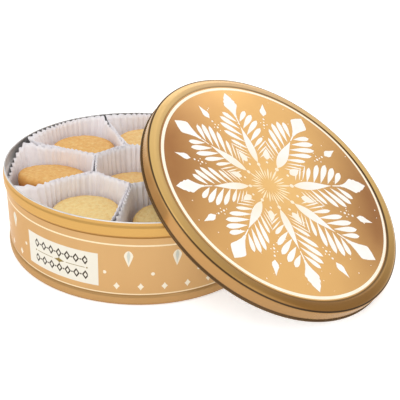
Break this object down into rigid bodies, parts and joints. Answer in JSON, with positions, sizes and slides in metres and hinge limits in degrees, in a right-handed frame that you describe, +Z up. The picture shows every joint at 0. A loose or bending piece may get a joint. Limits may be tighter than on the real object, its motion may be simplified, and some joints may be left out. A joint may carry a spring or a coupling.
{
  "type": "cookie tin",
  "caption": "Round gold tinplate biscuit tin, opened, with its slip-on lid leaning on the rim over pleated paper cups of stacked round biscuits.",
  "frame": {"origin": "on the body's axis, on the flat underside of the bottom panel, level with the seam that the tin stands on", "axes": "+Z up along the body's axis; -Y is the front of the tin, where its label panel is; the lid leans down towards +X"},
  "size_m": [0.2876, 0.2414, 0.1165],
  "materials": {
    "gold_tinplate": "satin",
    "lid_gold_tinplate": "gloss",
    "plain_tinplate": "satin",
    "white_paper": "matte",
    "baked_biscuit": "matte"
  },
  "bodies": {
    "root": {"tin_wall": "gold_tinplate", "tin_bottom": "plain_tinplate", "paper_cup_middle": "white_paper", "paper_cup_ring_1": "white_paper", "paper_cup_ring_2": "white_paper", "paper_cup_ring_3": "white_paper", "paper_cup_ring_4": "white_paper", "paper_cup_ring_5": "white_paper", "paper_cup_ring_6": "white_paper", "paper_cup_ring_7": "white_paper", "biscuit_middle_low": "baked_biscuit", "biscuit_middle_mid": "baked_biscuit", "biscuit_middle_top": "baked_biscuit", "biscuit_ring_1_low": "baked_biscuit", "biscuit_ring_1_mid": "baked_biscuit", "biscuit_ring_1_upper": "baked_biscuit", "biscuit_ring_2_low": "baked_biscuit", "biscuit_ring_2_mid": "baked_biscuit", "biscuit_ring_2_upper": "baked_biscuit", "biscuit_ring_3_low": "baked_biscuit", "biscuit_ring_3_mid": "baked_biscuit", "biscuit_ring_3_upper": "baked_biscuit", "biscuit_ring_4_low": "baked_biscuit", "biscuit_ring_4_mid": "baked_biscuit", "biscuit_ring_4_upper": "baked_biscuit", "biscuit_ring_5_low": "baked_biscuit", "biscuit_ring_5_mid": "baked_biscuit", "biscuit_ring_5_upper": "baked_biscuit", "biscuit_ring_5_top": "baked_biscuit", "biscuit_ring_6_low": "baked_biscuit", "biscuit_ring_6_mid": "baked_biscuit", "biscuit_ring_6_upper": "baked_biscuit", "biscuit_ring_6_top": "baked_biscuit", "biscuit_ring_7_low": "baked_biscuit", "biscuit_ring_7_mid": "baked_biscuit", "biscuit_ring_7_upper": "baked_biscuit", "biscuit_ring_7_top": "baked_biscuit"},
    "lid": {"lid": "lid_gold_tinplate"},
    "biscuit_back": {"biscuit_ring_1_top": "baked_biscuit"},
    "biscuit_back_left": {"biscuit_ring_2_top": "baked_biscuit"},
    "biscuit_left": {"biscuit_ring_3_top": "baked_biscuit"},
    "biscuit_front_left": {"biscuit_ring_4_top": "baked_biscuit"}
  },
  "joints": [
    {"name": "lid_lift", "type": "slide", "parent": "root", "child": "lid", "axis": [0, 0, 1], "range_m": [0, 0.15]},
    {"name": "biscuit_back_lift", "type": "slide", "parent": "root", "child": "biscuit_back", "axis": [0, 0, 1], "range_m": [0, 0.06]},
    {"name": "biscuit_back_left_lift", "type": "slide", "parent": "root", "child": "biscuit_back_left", "axis": [0, 0, 1], "range_m": [0, 0.06]},
    {"name": "biscuit_left_lift", "type": "slide", "parent": "root", "child": "biscuit_left", "axis": [0, 0, 1], "range_m": [0, 0.06]},
    {"name": "biscuit_front_left_lift", "type": "slide", "parent": "root", "child": "biscuit_front_left", "axis": [0, 0, 1], "range_m": [0, 0.06]}
  ]
}
